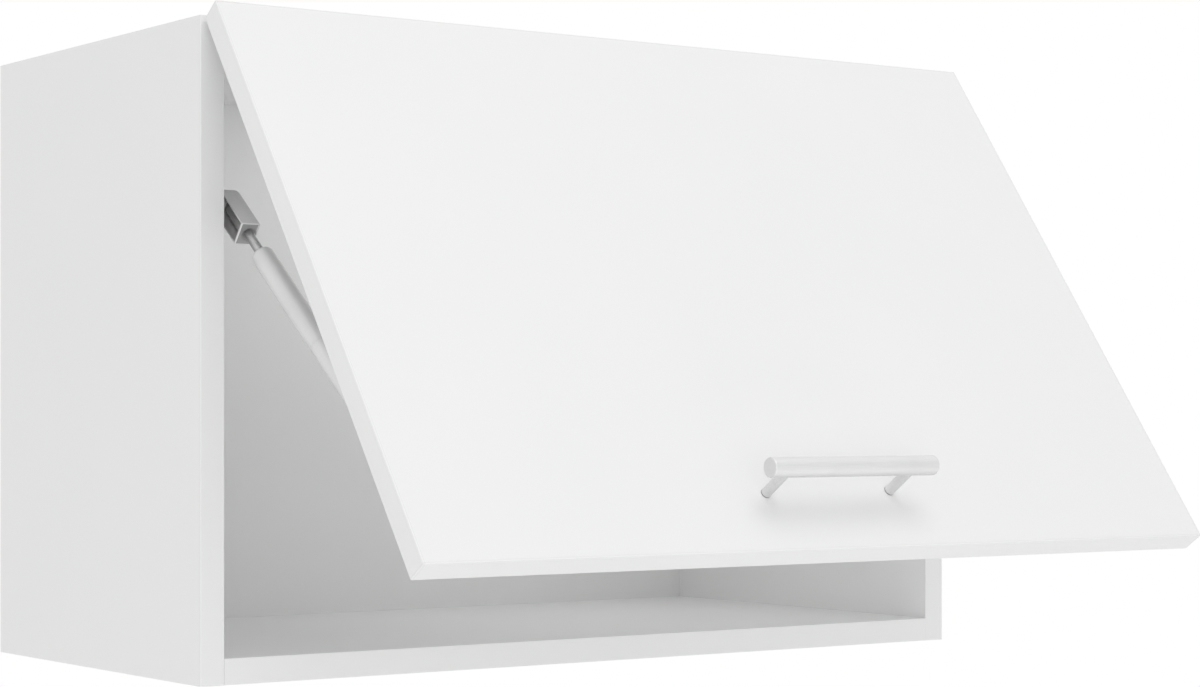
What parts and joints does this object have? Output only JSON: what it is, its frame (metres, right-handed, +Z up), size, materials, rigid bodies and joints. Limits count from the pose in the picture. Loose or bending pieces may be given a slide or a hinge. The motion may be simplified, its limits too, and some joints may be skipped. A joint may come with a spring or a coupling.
{
  "type": "kitchen wall cabinet",
  "caption": "White kitchen wall cabinet with a top-hung flap door held open by a gas strut, concealed hinges and a bar handle.",
  "frame": {"origin": "centre of the back panel's rear face, on the wall plane", "axes": "+X right, +Y into the wall, +Z up"},
  "size_m": [0.6, 0.5387, 0.407],
  "materials": {
    "white_board": "melamine-faced board, matt white",
    "white_front": "smooth matt white front with matching edges",
    "clear_bumper": "soft clear buffer",
    "beech": "plain turned beech",
    "zinc_steel": "zinc-plated steel",
    "satin_handle": "satin silver",
    "grey_zinc": "grey die-cast",
    "strut_paint": "light grey paint",
    "steel_rod": "ground steel",
    "black_rubber": "seal ring"
  },
  "bodies": {
    "carcass": {"side_panel_left": "white_board", "side_panel_right": "white_board", "top_panel": "white_board", "bottom_panel": "white_board", "back_panel": "white_board", "back_nails": "zinc_steel", "corner_bolts": "zinc_steel", "corner_cams": "zinc_steel", "corner_dowels": "beech", "wall_bracket_left": "zinc_steel", "wall_bracket_right": "zinc_steel", "wall_bracket_screws": "zinc_steel", "hinge_plate_left": "zinc_steel", "hinge_plate_right": "zinc_steel", "hinge_plate_screws": "zinc_steel", "hinge_arm_left": "zinc_steel", "hinge_arm_right": "zinc_steel", "hinge_arm_pins": "zinc_steel", "strut_side_bracket": "zinc_steel", "strut_side_screws": "zinc_steel"},
    "door": {"door_panel": "white_front", "door_bumpers": "clear_bumper", "handle_bar": "satin_handle", "handle_post_left": "satin_handle", "handle_post_right": "satin_handle", "handle_screws": "zinc_steel", "hinge_cup_left": "zinc_steel", "hinge_cup_right": "zinc_steel", "hinge_cup_pins": "zinc_steel", "hinge_cup_screws": "zinc_steel", "strut_foot_bracket": "zinc_steel", "strut_foot_screws": "zinc_steel"},
    "hinge_front_arms": {"hinge_front_arm_left": "zinc_steel", "hinge_front_arm_right": "zinc_steel"},
    "hinge_rear_arms": {"hinge_rear_arm_left": "zinc_steel", "hinge_rear_arm_right": "zinc_steel"},
    "hinge_upper_links": {"hinge_upper_link_left": "zinc_steel", "hinge_upper_link_right": "zinc_steel"},
    "hinge_lower_links": {"hinge_lower_link_left": "zinc_steel", "hinge_lower_link_right": "zinc_steel"},
    "strut_rod_end": {"strut_socket": "grey_zinc", "strut_rod": "steel_rod", "strut_piston": "steel_rod", "strut_guard_tube": "strut_paint"},
    "strut_cylinder_end": {"strut_cylinder": "strut_paint", "strut_gland": "black_rubber", "strut_eye": "grey_zinc"}
  },
  "joints": [
    {"name": "door_lift", "type": "hinge", "parent": "carcass", "child": "door", "pos_m": [0, -0.2915, 0.198], "axis": [-1, 0, 0], "range_deg": [-35.3, 24.7]},
    {"name": "front_arm_turn", "type": "hinge", "parent": "carcass", "child": "hinge_front_arms", "pos_m": [0, -0.2805, 0.17895], "axis": [-1, 0, 0], "range_deg": [-35.3, 24.7]},
    {"name": "rear_arm_turn", "type": "hinge", "parent": "carcass", "child": "hinge_rear_arms", "pos_m": [0, -0.2765, 0.17202], "axis": [-1, 0, 0], "range_deg": [-35.3, 24.7]},
    {"name": "upper_link_turn", "type": "hinge", "parent": "door", "child": "hinge_upper_links", "pos_m": [0, -0.30087, 0.18733], "axis": [-1, 0, 0], "range_deg": [-24.7, 35.3]},
    {"name": "lower_link_turn", "type": "hinge", "parent": "door", "child": "hinge_lower_links", "pos_m": [0, -0.30655, 0.18087], "axis": [-1, 0, 0], "range_deg": [-24.7, 35.3]},
    {"name": "strut_swing", "type": "hinge", "parent": "carcass", "child": "strut_rod_end", "pos_m": [0, -0.269, 0.0909], "axis": [-1, 0, 0], "range_deg": [-45.99, 32.21]},
    {"name": "strut_slide", "type": "slide", "parent": "strut_rod_end", "child": "strut_cylinder_end", "axis": [0, -0.7789, -0.6272], "range_m": [-0.04569, 0.032]}
  ],
  "couplings": [
    {"joint": "front_arm_turn", "follows": "door_lift", "ratio": 1},
    {"joint": "rear_arm_turn", "follows": "door_lift", "ratio": 1},
    {"joint": "upper_link_turn", "follows": "door_lift", "ratio": -1},
    {"joint": "lower_link_turn", "follows": "door_lift", "ratio": -1},
    {"joint": "strut_swing", "follows": "door_lift", "ratio": 1.3},
    {"joint": "strut_slide", "follows": "door_lift", "m_per_rad": 0.074}
  ]
}
